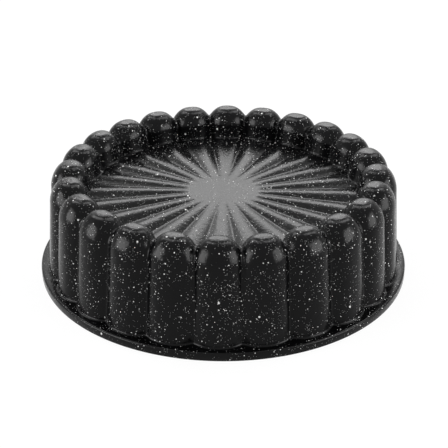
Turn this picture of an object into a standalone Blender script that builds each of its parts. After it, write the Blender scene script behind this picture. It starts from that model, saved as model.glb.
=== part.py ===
"""A cast aluminium cake mould with 24 flutes, standing mouth down on its rim.

Metres, +Z up. The origin is the centre of the rim's flat underside. One flute's crest faces -Y.

The casting is an outer form with a hollow cut from below. Both are lofts around the Z axis: every
station has its own section in the plane through the axis, which blends from the section on a flute's
crest to the section in the valley between two flutes.
"""

import math

import bmesh
import bpy
from mathutils import Vector

NAME = "cast_mould"

# Pattern
FLUTES = 24
STATIONS_PER_FLUTE = 6
OUTER_ARCH_POWER = 2.4  # 2 is a parabola, more is a broader flute with a sharper valley
INNER_ARCH_POWER = 2.6
TOP_ARCH_POWER = 2.5

# Rim flange
RIM_RADIUS = 0.1400
RIM_THICKNESS = 0.0063
RIM_TOP_ROUND = 0.0018
RIM_UNDER_ROUND = 0.0006

# Outer wall of the flutes
LEDGE = 0.0057  # rim edge to the foot of a crest
FOOT_FILLET = 0.0020
FLUTE_DEPTH_AT_FOOT = 0.0051
FLUTE_DEPTH_AT_SHOULDER = 0.0069
WALL_LEAN = 0.0040  # how far a crest leans in from its foot to its shoulder

# Domed tops
CREST_HEIGHT = 0.0805
VALLEY_DROP = 0.0080  # how much lower the ring's top line is in a valley
TOP_CUT = 0.0009  # taken off the full rounding of a dome, which leaves a flat to stand on
LEAST_CUT = 0.00002  # the same in a valley, where the flat narrows to almost nothing
SHOULDER_RUN = 0.0150  # crest's shoulder to the ring's top line, across
SHOULDER_FALL_CREST = 0.0198  # measured, as the other falls, from the full rounding
SHOULDER_FALL_VALLEY = 0.0102

# Inner wall of the flutes
INNER_RUN_CREST = 0.0139  # ring's top line to the inner wall, across
INNER_RUN_VALLEY = 0.0075
INNER_FALL_CREST = 0.0144
INNER_FALL_VALLEY = 0.0069
INNER_LEAN = 0.0013  # how far the inner wall leans towards the axis on its way down

# Recessed plate
RECESS_DEPTH = 0.0213  # crests down to the rib crowns
PLATE_FILLET = 0.0025
HUB_RADIUS = 0.0255
GROOVE_DEPTH = 0.0033  # at the inner wall
GROOVE_RISE = 0.8  # the groove's depth follows its way out from the hub to this power

# Casting
WALL_THICKNESS = 0.0030
PLATE_THICKNESS = 0.0035
LEAST_ROUND = 0.0004  # what is left of a rounding that the wall's thickness uses up
CUT_BELOW = 0.0050  # how far the hollow's cutter reaches out of the mouth

# Faces up each rounding and across the plate
STEPS_UP_SHOULDER = 5
STEPS_DOWN_INNER = 4
STEPS_UP_HOLLOW = 4
STEPS_DOWN_HOLLOW = 3
STEPS_IN_CORNER = 2
STEPS_OVER_PLATE = 4
PLATE_STEP_CROWDING = 1.6  # over 1 draws the plate's steps in towards the hub, where the grooves end

SHARP_ANGLE = math.radians(32)

# Coating
COATING_COLOUR = (0.012, 0.012, 0.013, 1.0)
COATING_ROUGHNESS = 0.32


def blend(first, last, share):
    """A value between first, share 0, and last, share 1."""
    return first + (last - first) * share


def arc(centre_r, centre_z, reach_r, reach_z, start, stop, steps):
    """Points of an elliptical arc from start to stop, as angles where 0 points outwards."""
    points = []
    for step in range(steps + 1):
        angle = blend(start, stop, step / steps)
        points.append((centre_r + reach_r * math.cos(angle), centre_z + reach_z * math.sin(angle)))
    return points


def rounded(before, corner, after, radius):
    """Points of the arc that rounds a corner, tangent to the lines to the points before and after it."""
    corner = Vector(corner)
    back = (Vector(before) - corner).normalized()
    onward = (Vector(after) - corner).normalized()
    half = 0.5 * back.angle(onward)
    reach = radius / math.tan(half)
    middle = corner + (back + onward).normalized() * radius / math.sin(half)
    start = corner + back * reach - middle
    stop = corner + onward * reach - middle
    points = []
    for step in range(STEPS_IN_CORNER + 1):
        spoke = start.slerp(stop, step / STEPS_IN_CORNER)
        points.append(tuple(middle + spoke.normalized() * radius))
    return points


class Section:
    """The sizes of the ring's section at one station. Skin is 0 outside and the wall's thickness inside."""

    def __init__(self, across, skin):
        self.across = across  # 0 on the crest, 1 in the valley
        outer_arch = 1.0 - across**OUTER_ARCH_POWER
        inner_arch = 1.0 - across**INNER_ARCH_POWER
        top_arch = 1.0 - across**TOP_ARCH_POWER
        crest_foot = RIM_RADIUS - LEDGE
        crest_shoulder = crest_foot - WALL_LEAN
        self.top_line = crest_shoulder - SHOULDER_RUN
        self.foot = blend(crest_foot - FLUTE_DEPTH_AT_FOOT, crest_foot, outer_arch) - skin
        self.shoulder = blend(crest_shoulder - FLUTE_DEPTH_AT_SHOULDER, crest_shoulder, outer_arch) - skin
        rise = blend(-VALLEY_DROP, TOP_CUT, top_arch)
        self.full_top = CREST_HEIGHT + rise - skin
        self.cut = max(rise, LEAST_CUT)
        shoulder_fall = blend(SHOULDER_FALL_VALLEY, SHOULDER_FALL_CREST, outer_arch) - skin
        inner_run = blend(INNER_RUN_VALLEY, INNER_RUN_CREST, inner_arch) - skin
        inner_fall = blend(INNER_FALL_VALLEY, INNER_FALL_CREST, inner_arch) - skin
        self.shoulder_fall = max(shoulder_fall, LEAST_ROUND)
        self.inner_run = max(inner_run, LEAST_ROUND)
        self.inner_fall = max(inner_fall, LEAST_ROUND)
        self.inner_top = self.top_line - self.inner_run
        self.plate_edge = self.inner_top - INNER_LEAN

    def flat_edge(self, fall):
        """The angle up a rounding of this fall at which the flat on top of the ring cuts it off."""
        return math.asin(1.0 - self.cut / fall)

    def domed_top(self, outer_steps, inner_steps):
        """From the shoulder, over the flat on the ring's top line, to the top of the inner wall."""
        return [
            *arc(self.top_line, self.full_top - self.shoulder_fall,
                 self.shoulder - self.top_line, self.shoulder_fall,
                 0.0, self.flat_edge(self.shoulder_fall), outer_steps),
            *arc(self.top_line, self.full_top - self.inner_fall,
                 self.inner_run, self.inner_fall,
                 math.pi - self.flat_edge(self.inner_fall), math.pi, inner_steps),
        ]


def rib_height(radius, across, edge):
    """Height of the ribbed plate: rounded ribs in line with the flutes, with V grooves in the valleys."""
    way_out = min(max((radius - HUB_RADIUS) / (edge - HUB_RADIUS), 0.0), 1.0)
    return CREST_HEIGHT - RECESS_DEPTH - GROOVE_DEPTH * way_out**GROOVE_RISE * across**2


def recess(ring, fillet, lowered):
    """From the inner wall, round the fillet at its foot and over the ribbed plate to the hub."""
    edge = ring.plate_edge

    def on_plate(radius):
        return radius, rib_height(radius, ring.across, edge) - lowered

    wall_top = (ring.inner_top, ring.full_top - ring.inner_fall)
    points = rounded(wall_top, on_plate(edge), on_plate(0.5 * (edge + HUB_RADIUS)), fillet)
    run = points.pop()[0] - HUB_RADIUS
    for step in range(STEPS_OVER_PLATE + 1):
        points.append(on_plate(HUB_RADIUS + run * (1.0 - step / STEPS_OVER_PLATE) ** PLATE_STEP_CROWDING))
    return points


def outer_section(across):
    """From the rim's flat underside, up over the flute and down to the hub."""
    ring = Section(across, 0.0)
    rim_under = (RIM_RADIUS, 0.0)
    rim_top = (RIM_RADIUS, RIM_THICKNESS)
    foot = (ring.foot, RIM_THICKNESS)
    shoulder = (ring.shoulder, ring.full_top - ring.shoulder_fall)
    return [
        (RIM_RADIUS - RIM_UNDER_ROUND, 0.0),
        (RIM_RADIUS, RIM_UNDER_ROUND),
        *rounded(rim_under, rim_top, foot, RIM_TOP_ROUND),
        *rounded(rim_top, foot, shoulder, FOOT_FILLET),
        *ring.domed_top(STEPS_UP_SHOULDER, STEPS_DOWN_INNER),
        *recess(ring, PLATE_FILLET, 0.0),
    ]


def hollow_section(across):
    """The same way one thickness further in, starting below the mouth."""
    ring = Section(across, WALL_THICKNESS)
    return [
        (ring.foot, -CUT_BELOW),
        (ring.foot, RIM_THICKNESS),
        *ring.domed_top(STEPS_UP_HOLLOW, STEPS_DOWN_HOLLOW),
        *recess(ring, PLATE_FILLET + PLATE_THICKNESS, PLATE_THICKNESS),
    ]


def loft_around(name, section_at):
    """A closed body from one section per station, capped by a flat base and by a fan at the hub."""
    mesh = bpy.data.meshes.new(name)
    shape = bmesh.new()
    stations = FLUTES * STATIONS_PER_FLUTE
    columns = []
    for station in range(stations):
        turn = 2.0 * math.pi * station / stations
        place = station % STATIONS_PER_FLUTE / STATIONS_PER_FLUTE
        across = 1.0 - abs(2.0 * place - 1.0)
        columns.append([
            shape.verts.new((radius * math.sin(turn), -radius * math.cos(turn), height))
            for radius, height in section_at(across)
        ])
    hub_height = columns[0][-1].co.z
    hub = shape.verts.new((0.0, 0.0, hub_height))
    for station, column in enumerate(columns):
        following = columns[(station + 1) % stations]
        for low in range(len(column) - 1):
            shape.faces.new((column[low], following[low], following[low + 1], column[low + 1]))
        shape.faces.new((column[-1], following[-1], hub))
    shape.faces.new([column[0] for column in reversed(columns)])
    bmesh.ops.recalc_face_normals(shape, faces=shape.faces)
    shape.to_mesh(mesh)
    shape.free()
    return bpy.data.objects.new(name, mesh)


def coating_material():
    material = bpy.data.materials.new("speckled_coating")
    material.use_nodes = True
    shader = material.node_tree.nodes["Principled BSDF"]
    shader.inputs["Base Color"].default_value = COATING_COLOUR
    shader.inputs["Roughness"].default_value = COATING_ROUGHNESS
    shader.inputs["Metallic"].default_value = 0.0
    return material


def new_collection(name):
    collection = bpy.data.collections.new(name)
    bpy.context.scene.collection.children.link(collection)
    return collection


def make_mould(parts, cutters):
    hollow = loft_around("hollow", hollow_section)
    cutters.objects.link(hollow)
    hollow.hide_render = True
    hollow.display_type = "WIRE"

    mould = loft_around(NAME, outer_section)
    parts.objects.link(mould)
    mould.data.materials.append(coating_material())
    mould.data.shade_smooth()
    mould.data.set_sharp_from_angle(angle=SHARP_ANGLE)
    cut = mould.modifiers.new("hollow", "BOOLEAN")
    cut.operation = "DIFFERENCE"
    cut.solver = "EXACT"
    cut.object = hollow
    return mould


def main():
    for existing in list(bpy.data.objects):
        bpy.data.objects.remove(existing, do_unlink=True)
    make_mould(new_collection("fluted_cake_mould"), new_collection("cutters"))


main()
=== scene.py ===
"""The look of the fluted cake mould: its smooth surface, speckled coating, studio light and camera."""

import math

import bmesh
import bpy
from mathutils import Matrix, Vector


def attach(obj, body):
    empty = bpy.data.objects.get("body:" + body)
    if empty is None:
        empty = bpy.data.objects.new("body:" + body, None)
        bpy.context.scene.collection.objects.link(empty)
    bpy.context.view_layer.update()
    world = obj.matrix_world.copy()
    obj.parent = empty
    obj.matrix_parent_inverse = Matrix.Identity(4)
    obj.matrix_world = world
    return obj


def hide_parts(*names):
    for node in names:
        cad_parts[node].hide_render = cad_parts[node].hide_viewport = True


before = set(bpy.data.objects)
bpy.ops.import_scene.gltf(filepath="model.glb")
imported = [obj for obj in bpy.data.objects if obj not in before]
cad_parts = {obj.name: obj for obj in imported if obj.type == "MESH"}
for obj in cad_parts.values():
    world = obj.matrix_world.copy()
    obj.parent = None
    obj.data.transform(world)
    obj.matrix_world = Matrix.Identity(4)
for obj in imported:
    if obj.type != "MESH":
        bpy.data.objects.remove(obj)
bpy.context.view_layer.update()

# Sizes of the mould in metres, and the powers that shape its arches
FLUTES = 24
OUTER_ARCH_POWER = 2.4
INNER_ARCH_POWER = 2.6
TOP_ARCH_POWER = 2.5
RIM_RADIUS = 0.1400
RIM_THICKNESS = 0.0063
RIM_UNDER_ROUND = 0.0006
LEDGE = 0.0057
FLUTE_DEPTH_AT_FOOT = 0.0051
FLUTE_DEPTH_AT_SHOULDER = 0.0069
WALL_LEAN = 0.0040
CREST_HEIGHT = 0.0805
VALLEY_DROP = 0.0080
TOP_CUT = 0.0009
SHOULDER_RUN = 0.0150
SHOULDER_FALL_CREST = 0.0198
SHOULDER_FALL_VALLEY = 0.0102
INNER_RUN_CREST = 0.0139
INNER_RUN_VALLEY = 0.0075
INNER_FALL_CREST = 0.0144
INNER_FALL_VALLEY = 0.0069
INNER_LEAN = 0.0013
RECESS_DEPTH = 0.0213
HUB_RADIUS = 0.0255
GROOVE_DEPTH = 0.0033
WALL_THICKNESS = 0.0030
PLATE_THICKNESS = 0.0035

# Edges and grooves that are finer than in the plain solid
RIM_TOP_ROUND = 0.0013
FOOT_FILLET = 0.0014
PLATE_FILLET = 0.0013
GROOVE_RISE = 0.7  # power of a groove's depth along its way outwards

# Softness where the plain solid is sharp
VALLEY_SOFTNESS = 0.07  # share of half a flute over which the sharp valley is rounded
GROOVE_SOFTNESS = 0.10  # the same for the groove between two ribs
FLAT_SOFTNESS = 0.0006  # how far the rounding of a dome's flat reaches below it

# How finely the surface is divided
STATIONS_PER_FLUTE = 40
ARC_STEP = math.radians(7.5)
ROUNDING_ROWS = 5
RIM_EDGE_ROWS = 3
LEDGE_ROWS = 3
STRAIGHT_ROWS = 4
PLATE_ROWS = 16
PLATE_CROWDING = 1.5  # above 1, the plate's rows lie closer near the hub

# The coating, with sizes in metres and grain in waves per metre
COATING_COLOUR = (0.0015, 0.0015, 0.0017, 1.0)
SPECKLE_COLOUR = (0.74, 0.74, 0.73, 1.0)
COATING_IOR = 1.22
GLOSS_GRAIN = 1400.0
ROUGHNESS_BASE = 0.02
ROUGHNESS_SPREAD = 0.34
PEEL_GRAIN = 420.0
PEEL_DETAIL = 3.0
PEEL_DEPTH = 0.0003
PEEL_STRENGTH = 0.62
SPECKLE_RELIEF = 0.6  # height of a speckle, as a share of the peel's
SPECKLE_EDGE = 3.0  # above 1, a speckle is solid to near its edge
PATCH_GRAIN = 90.0  # speckles lie closer in some patches than in others
PATCH_CONTRAST = 4.0
PATCH_OFFSET = 1.0

# Speckles by size class: cell and dot in metres, share of the cells that hold a dot, and the dot's strength
SPECKLES = (
    (0.0010, 0.00024, 0.30, 0.40),
    (0.0020, 0.00036, 0.28, 1.00),
    (0.0036, 0.00054, 0.36, 1.00),
    (0.0090, 0.00090, 0.24, 1.00),
)

# The floor and the surroundings: size in metres, brightness as a share of paper white
FLOOR_SIZE = 8.0
FLOOR_GLOW = 0.93
FLOOR_PAPER = 0.07
FLOOR_BOUNCE = 0.30
STUDIO_FILL = 0.03

LIGHT_CENTRE = (0.0, 0.0, 0.05)

# The photograph's camera
CAMERA_DISTANCE = 0.8593
CAMERA_ELEVATION = math.radians(27.806)
CAMERA_TURN = math.radians(1.442)
CAMERA_PAN = math.radians(-0.144)
CAMERA_ROLL = math.radians(0.093)
CAMERA_LENS = 89.87
SENSOR_WIDTH = 36.0
AIM = (0.00242, 0.0, 0.0305)


def blend(valley, crest, arch):
    """The value between valley and crest, where arch is 0 in the valley and 1 on the crest."""
    return valley + (crest - valley) * arch


def softened(across, softness):
    """The way from crest 0 to valley 1, slowing to a stop at its end, so that the valley is round."""
    past = max(0.0, across - (1.0 - softness))
    return across - past * past / (2.0 * softness)


def arc(centre_r, centre_z, reach_r, reach_z, start, stop):
    """Points of an elliptic arc, without the first."""
    rows = max(2, round(abs(stop - start) / ARC_STEP))
    points = []
    for row in range(1, rows + 1):
        angle = start + (stop - start) * row / rows
        points.append((centre_r + reach_r * math.cos(angle), centre_z + reach_z * math.sin(angle)))
    return points


def rounded(before, corner, after, radius, rows=ROUNDING_ROWS):
    """The points that round off the corner between two straight stretches."""
    corner = Vector(corner)
    back = (Vector(before) - corner).normalized()
    onward = (Vector(after) - corner).normalized()
    half = 0.5 * back.angle(onward)
    middle = corner + (back + onward).normalized() * radius / math.sin(half)
    start = corner + back * radius / math.tan(half) - middle
    stop = corner + onward * radius / math.tan(half) - middle
    spokes = [start, *(start.slerp(stop, row / rows) for row in range(1, rows)), stop]
    return [tuple(middle + spoke.normalized() * radius) for spoke in spokes]


def straight(start, stop, rows):
    """Points strictly between two points."""
    return [
        (start[0] + (stop[0] - start[0]) * row / rows, start[1] + (stop[1] - start[1]) * row / rows)
        for row in range(1, rows)
    ]


def flattened(height, limit):
    """The height held under a limit, with a small rounding between the slope and the flat."""
    below = limit - height
    return limit - 0.5 * (below + math.hypot(below, FLAT_SOFTNESS))


class Ring:
    """Section sizes of the fluted ring at one station, on the outside or one skin further in."""

    def __init__(self, across, skin):
        self.across = across
        way = softened(across, VALLEY_SOFTNESS)
        outer_arch = 1.0 - way**OUTER_ARCH_POWER
        inner_arch = 1.0 - way**INNER_ARCH_POWER
        top_arch = 1.0 - way**TOP_ARCH_POWER
        crest_foot = RIM_RADIUS - LEDGE
        crest_shoulder = crest_foot - WALL_LEAN
        self.top_line = crest_shoulder - SHOULDER_RUN
        self.foot = blend(crest_foot - FLUTE_DEPTH_AT_FOOT, crest_foot, outer_arch) - skin
        self.shoulder = blend(crest_shoulder - FLUTE_DEPTH_AT_SHOULDER, crest_shoulder, outer_arch) - skin
        self.flat = CREST_HEIGHT - skin
        self.full_top = self.flat + blend(-VALLEY_DROP, TOP_CUT, top_arch)
        self.shoulder_fall = blend(SHOULDER_FALL_VALLEY, SHOULDER_FALL_CREST, outer_arch) - skin
        self.inner_run = blend(INNER_RUN_VALLEY, INNER_RUN_CREST, inner_arch) - skin
        self.inner_fall = blend(INNER_FALL_VALLEY, INNER_FALL_CREST, inner_arch) - skin
        self.inner_top = self.top_line - self.inner_run
        self.plate_edge = self.inner_top - INNER_LEAN

    def shoulder_start(self):
        return self.shoulder, self.full_top - self.shoulder_fall

    def inner_start(self):
        return self.inner_top, self.full_top - self.inner_fall

    def domed_top(self):
        """From the shoulder over the dome to the inner wall, cut off by the flat."""
        rounding = [
            *arc(self.top_line, self.full_top - self.shoulder_fall,
                 self.shoulder - self.top_line, self.shoulder_fall, 0, math.pi / 2),
            *arc(self.top_line, self.full_top - self.inner_fall,
                 self.inner_run, self.inner_fall, math.pi / 2, math.pi),
        ]
        return [
            self.shoulder_start(),
            *((radius, flattened(height, self.flat)) for radius, height in rounding[:-1]),
            self.inner_start(),
        ]


def rib_height(radius, across, edge):
    """Height of the ribbed plate: level on a rib, and falling outwards along a groove."""
    way_out = min(max((radius - HUB_RADIUS) / (edge - HUB_RADIUS), 0.0), 1.0)
    side = softened(across, GROOVE_SOFTNESS)
    return CREST_HEIGHT - RECESS_DEPTH - GROOVE_DEPTH * way_out**GROOVE_RISE * side**2


def recess(ring, fillet, lowered):
    """From the dome down the inner wall, round its foot and over the plate to the hub."""
    edge = ring.plate_edge

    def on_plate(radius):
        return radius, rib_height(radius, ring.across, edge) - lowered

    wall_top = ring.inner_start()
    foot = rounded(wall_top, on_plate(edge), on_plate(0.5 * (edge + HUB_RADIUS)), fillet)
    points = [*straight(wall_top, foot[0], STRAIGHT_ROWS), *foot[:-1]]
    run = foot[-1][0] - HUB_RADIUS
    for row in range(PLATE_ROWS + 1):
        points.append(on_plate(HUB_RADIUS + run * (1.0 - row / PLATE_ROWS) ** PLATE_CROWDING))
    points.append((0.5 * HUB_RADIUS, points[-1][1]))
    return points


def outer_section(across):
    """The outer skin from the rim's lower edge to the hub."""
    ring = Ring(across, 0.0)
    rim_top = (RIM_RADIUS, RIM_THICKNESS)
    foot = (ring.foot, RIM_THICKNESS)
    rim_round = rounded((RIM_RADIUS, 0.0), rim_top, foot, RIM_TOP_ROUND)
    foot_round = rounded(rim_top, foot, ring.shoulder_start(), FOOT_FILLET)
    return [
        *rounded((0.0, 0.0), (RIM_RADIUS, 0.0), rim_top, RIM_UNDER_ROUND, RIM_EDGE_ROWS),
        *rim_round,
        *straight(rim_round[-1], foot_round[0], LEDGE_ROWS),
        *foot_round,
        *straight(foot_round[-1], ring.shoulder_start(), STRAIGHT_ROWS),
        *ring.domed_top(),
        *recess(ring, PLATE_FILLET, 0.0),
    ]


def hollow_section(across):
    """The inner skin from the mouth to the hub."""
    ring = Ring(across, WALL_THICKNESS)
    mouth = (ring.foot, 0.0)
    return [
        *rounded((RIM_RADIUS, 0.0), mouth, ring.shoulder_start(), RIM_UNDER_ROUND, RIM_EDGE_ROWS),
        *straight(mouth, ring.shoulder_start(), STRAIGHT_ROWS),
        *ring.domed_top(),
        *recess(ring, PLATE_FILLET + PLATE_THICKNESS, PLATE_THICKNESS),
    ]


def mould_mesh():
    """Both skins in one closed mesh, joined by the rim's flat underside and closed by a fan at the hub."""
    stations = FLUTES * STATIONS_PER_FLUTE
    shape = bmesh.new()
    columns = []
    for station in range(stations):
        turn = 2.0 * math.pi * station / stations
        place = station % STATIONS_PER_FLUTE / STATIONS_PER_FLUTE
        across = 1.0 - abs(2.0 * place - 1.0)
        rows = [*reversed(hollow_section(across)), *outer_section(across)]
        columns.append([
            shape.verts.new((radius * math.sin(turn), -radius * math.cos(turn), height))
            for radius, height in rows
        ])
    under = shape.verts.new((0.0, 0.0, columns[0][0].co.z))
    upper = shape.verts.new((0.0, 0.0, columns[0][-1].co.z))
    for station, column in enumerate(columns):
        following = columns[(station + 1) % stations]
        for low in range(len(column) - 1):
            shape.faces.new((column[low], following[low], following[low + 1], column[low + 1]))
        shape.faces.new((column[-1], following[-1], upper))
        shape.faces.new((following[0], column[0], under))
    bmesh.ops.recalc_face_normals(shape, faces=shape.faces)
    mesh = bpy.data.meshes.new("mould_surface")
    shape.to_mesh(mesh)
    shape.free()
    mesh.shade_smooth()
    return mesh


def coating():
    """Black non-stick coating: satin, a faint orange peel and white speckles of several sizes."""
    material = bpy.data.materials.new("speckled_coating")
    material.use_nodes = True
    nodes = material.node_tree.nodes
    links = material.node_tree.links
    shader = nodes["Principled BSDF"]
    where = nodes.new("ShaderNodeTexCoord").outputs["Object"]

    def maths(operation, first, second, clamp=False):
        node = nodes.new("ShaderNodeMath")
        node.operation = operation
        node.use_clamp = clamp
        for socket, value in zip(node.inputs, (first, second)):
            if isinstance(value, float):
                socket.default_value = value
            else:
                links.new(value, socket)
        return node.outputs[0]

    def noise(scale, detail=2.0):
        node = nodes.new("ShaderNodeTexNoise")
        node.inputs["Scale"].default_value = scale
        node.inputs["Detail"].default_value = detail
        links.new(where, node.inputs["Vector"])
        return node.outputs["Fac"]

    patches = maths("SUBTRACT", maths("MULTIPLY", noise(PATCH_GRAIN), PATCH_CONTRAST), PATCH_OFFSET)

    def speckles(cell, size, share, strength):
        """How much of a point is covered by a dot of one size class."""
        cells = nodes.new("ShaderNodeTexVoronoi")
        cells.inputs["Scale"].default_value = 1.0 / cell
        links.new(where, cells.inputs["Vector"])
        chosen = nodes.new("ShaderNodeSeparateColor")
        links.new(cells.outputs["Color"], chosen.inputs[0])
        inside = maths("SUBTRACT", size / cell, cells.outputs["Distance"])
        dot = maths("MULTIPLY", inside, SPECKLE_EDGE * cell / size, clamp=True)
        picked = maths("LESS_THAN", chosen.outputs[0], maths("MULTIPLY", patches, share))
        return maths("MULTIPLY", maths("MULTIPLY", dot, picked), strength)

    dots = 0.0
    for size_class in SPECKLES:
        dots = maths("MAXIMUM", dots, speckles(*size_class))

    colour = nodes.new("ShaderNodeMix")
    colour.data_type = "RGBA"
    links.new(dots, colour.inputs["Factor"])
    colour.inputs["A"].default_value = COATING_COLOUR
    colour.inputs["B"].default_value = SPECKLE_COLOUR
    links.new(colour.outputs["Result"], shader.inputs["Base Color"])

    rough = maths("ADD", maths("MULTIPLY", noise(GLOSS_GRAIN), ROUGHNESS_SPREAD), ROUGHNESS_BASE)
    links.new(rough, shader.inputs["Roughness"])
    shader.inputs["IOR"].default_value = COATING_IOR

    peel = nodes.new("ShaderNodeBump")
    peel.inputs["Strength"].default_value = PEEL_STRENGTH
    peel.inputs["Distance"].default_value = PEEL_DEPTH
    height = maths("ADD", noise(PEEL_GRAIN, PEEL_DETAIL), maths("MULTIPLY", dots, SPECKLE_RELIEF))
    links.new(height, peel.inputs["Height"])
    links.new(peel.outputs["Normal"], shader.inputs["Normal"])
    return material


def make_mould():
    mould = bpy.data.objects.new("mould", mould_mesh())
    bpy.context.scene.collection.objects.link(mould)
    mould.data.materials.append(coating())
    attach(mould, "root")
    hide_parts("cast_mould")


def grey(level):
    return level, level, level, 1.0


def shown_to_eye(nodes, links):
    """1 for the rays that show the surroundings: the camera's, and those mirrored or passed on to it."""
    ray = nodes.new("ShaderNodeLightPath")
    total = ray.outputs["Is Camera Ray"]
    for kind in ("Is Glossy Ray", "Is Transmission Ray"):
        node = nodes.new("ShaderNodeMath")
        node.operation = "ADD"
        node.use_clamp = True
        links.new(total, node.inputs[0])
        links.new(ray.outputs[kind], node.inputs[1])
        total = node.outputs[0]
    return total


def lit_or_shown(nodes, links, lit, shown):
    """One look for the light that falls on the object, and another for what the eye sees."""
    mix = nodes.new("ShaderNodeMixShader")
    links.new(shown_to_eye(nodes, links), mix.inputs[0])
    links.new(lit, mix.inputs[1])
    links.new(shown, mix.inputs[2])
    return mix.outputs[0]


def diffuse(nodes, level):
    node = nodes.new("ShaderNodeBsdfDiffuse")
    node.inputs["Color"].default_value = grey(level)
    return node.outputs[0]


def make_floor():
    """White where it shows, and a plain grey card to the light that it throws back."""
    bpy.ops.mesh.primitive_plane_add(size=FLOOR_SIZE, location=(0.0, 0.0, 0.0))
    floor = bpy.context.object
    floor.name = "floor"
    material = bpy.data.materials.new("floor")
    material.use_nodes = True
    nodes = material.node_tree.nodes
    links = material.node_tree.links
    nodes.remove(nodes["Principled BSDF"])
    glow = nodes.new("ShaderNodeEmission")
    glow.inputs["Strength"].default_value = FLOOR_GLOW
    white = nodes.new("ShaderNodeAddShader")
    links.new(glow.outputs[0], white.inputs[0])
    links.new(diffuse(nodes, FLOOR_PAPER), white.inputs[1])
    look = lit_or_shown(nodes, links, diffuse(nodes, FLOOR_BOUNCE), white.outputs[0])
    links.new(look, nodes["Material Output"].inputs["Surface"])
    floor.data.materials.append(material)


def background(nodes, level):
    node = nodes.new("ShaderNodeBackground")
    node.inputs["Color"].default_value = grey(level)
    return node.outputs[0]


def make_world():
    """White where it shows, and a faint even fill for the object."""
    world = bpy.data.worlds.new("studio")
    bpy.context.scene.world = world
    world.use_nodes = True
    nodes = world.node_tree.nodes
    links = world.node_tree.links
    nodes.clear()
    look = lit_or_shown(nodes, links, background(nodes, STUDIO_FILL), background(nodes, 1.0))
    out = nodes.new("ShaderNodeOutputWorld")
    links.new(look, out.inputs["Surface"])


def around(azimuth, elevation, distance):
    """A place seen from the mould, where azimuth 0 is behind it and 90 is on its right."""
    turn, rise = math.radians(azimuth), math.radians(elevation)
    level = distance * math.cos(rise)
    return level * math.sin(turn), level * math.cos(turn), distance * math.sin(rise)


def soft_box(name, place, width, height, strength):
    """A rectangular light that faces the mould: strength is its brightness, where 1 is paper white."""
    data = bpy.data.lights.new(name, "AREA")
    data.shape = "RECTANGLE"
    data.size = width
    data.size_y = height
    data.energy = strength * width * height * math.pi
    light = bpy.data.objects.new(name, data)
    light.location = place
    light.rotation_mode = "QUATERNION"
    light.rotation_quaternion = (Vector(LIGHT_CENTRE) - Vector(place)).to_track_quat("-Z", "Y")
    bpy.context.scene.collection.objects.link(light)


def make_lights():
    """A bright strip behind the mould, a strip high on either side and a large box low on either side."""
    soft_box("backdrop_wide", around(0.0, 28.0, 1.30), width=1.36, height=0.50, strength=1.2)
    soft_box("backdrop", around(0.0, 28.5, 1.30), width=0.64, height=0.50, strength=1.4)
    soft_box("backdrop_high", around(0.0, 34.0, 1.28), width=0.60, height=0.30, strength=3.4)
    soft_box("left_top", around(-47.0, 60.0, 1.8), width=0.46, height=1.42, strength=6.8)
    soft_box("right_top", around(47.0, 60.0, 1.8), width=0.46, height=1.42, strength=6.4)
    soft_box("left_side", around(-113.0, 16.0, 1.8), width=1.28, height=1.30, strength=8.8)
    soft_box("right_side", around(112.0, 16.0, 1.8), width=1.28, height=1.30, strength=7.6)


def make_camera():
    eye = Vector((
        AIM[0],
        AIM[1] - CAMERA_DISTANCE * math.cos(CAMERA_ELEVATION),
        AIM[2] + CAMERA_DISTANCE * math.sin(CAMERA_ELEVATION),
    ))
    forward = Vector((
        math.sin(CAMERA_PAN) * math.cos(CAMERA_ELEVATION),
        math.cos(CAMERA_PAN) * math.cos(CAMERA_ELEVATION),
        -math.sin(CAMERA_ELEVATION),
    ))
    level = forward.cross(Vector((0.0, 0.0, 1.0))).normalized()
    upright = level.cross(forward)
    right = level * math.cos(CAMERA_ROLL) + upright * math.sin(CAMERA_ROLL)
    up = upright * math.cos(CAMERA_ROLL) - level * math.sin(CAMERA_ROLL)
    pose = Matrix((right, up, -forward)).transposed().to_4x4()
    pose.translation = eye
    data = bpy.data.cameras.new("camera")
    data.lens = CAMERA_LENS
    data.sensor_width = SENSOR_WIDTH
    camera = bpy.data.objects.new("camera", data)
    bpy.context.scene.collection.objects.link(camera)
    camera.matrix_world = Matrix.Rotation(CAMERA_TURN, 4, "Z") @ pose
    bpy.context.scene.camera = camera


bpy.context.scene.view_settings.view_transform = "Standard"
make_mould()
make_floor()
make_world()
make_lights()
make_camera()
